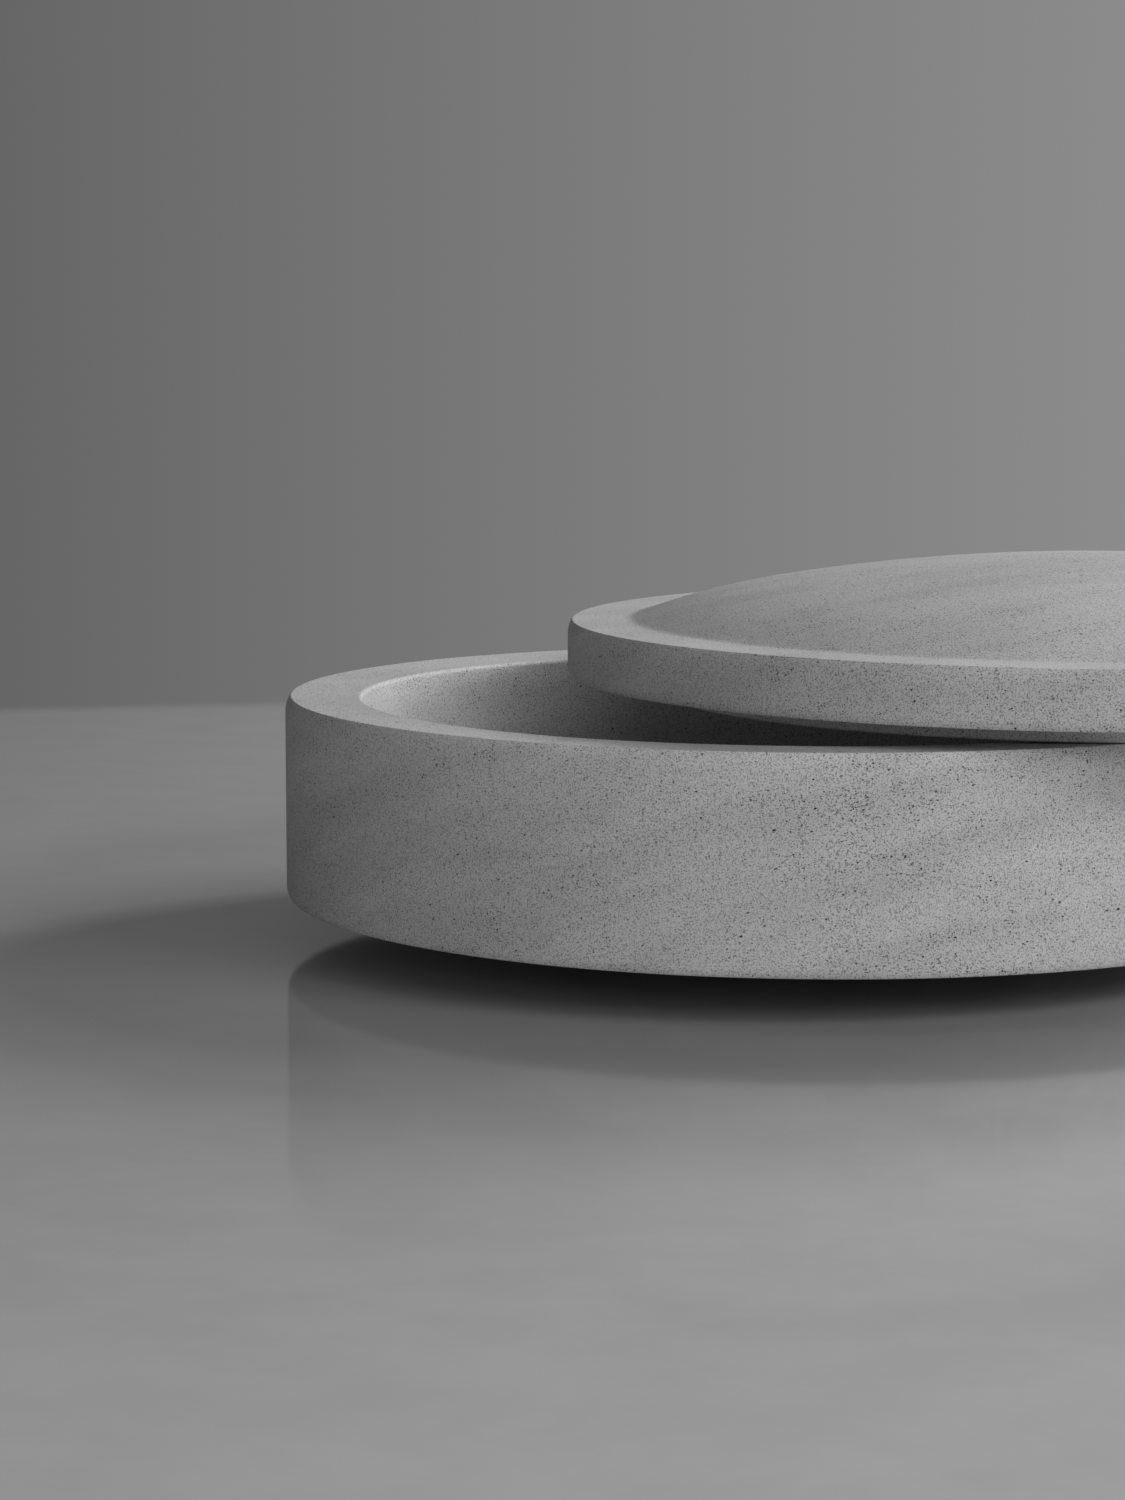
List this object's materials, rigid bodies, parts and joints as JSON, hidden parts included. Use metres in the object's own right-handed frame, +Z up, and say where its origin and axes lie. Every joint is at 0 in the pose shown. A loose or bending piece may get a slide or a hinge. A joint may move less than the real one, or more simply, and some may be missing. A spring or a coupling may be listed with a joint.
{
  "type": "lidded stone box",
  "caption": "Low round stone box: a thick-walled bowl on a recessed dark foot with felt under it, and a domed, slightly overhanging lid with a locating spigot, lying slid aside on the rim.",
  "frame": {"origin": "centre of the felt's face on the table, on the bowl's axis", "axes": "+Z up along the bowl's axis, +X the way the lid lies slid aside, -Y towards the picture's viewer"},
  "size_m": [0.387, 0.3086, 0.1098],
  "materials": {
    "limestone": "honed, matt, finely pitted",
    "dark_stone": "honed, matt",
    "felt": "pressed wool felt"
  },
  "bodies": {
    "box": {"bowl": "limestone", "foot": "dark_stone", "base_felt": "felt"},
    "lid": {"lid": "limestone"}
  },
  "joints": [
    {"name": "lid_lift", "type": "slide", "parent": "box", "child": "lid", "axis": [0, 0, 1], "range_m": [0, 0.15]}
  ]
}
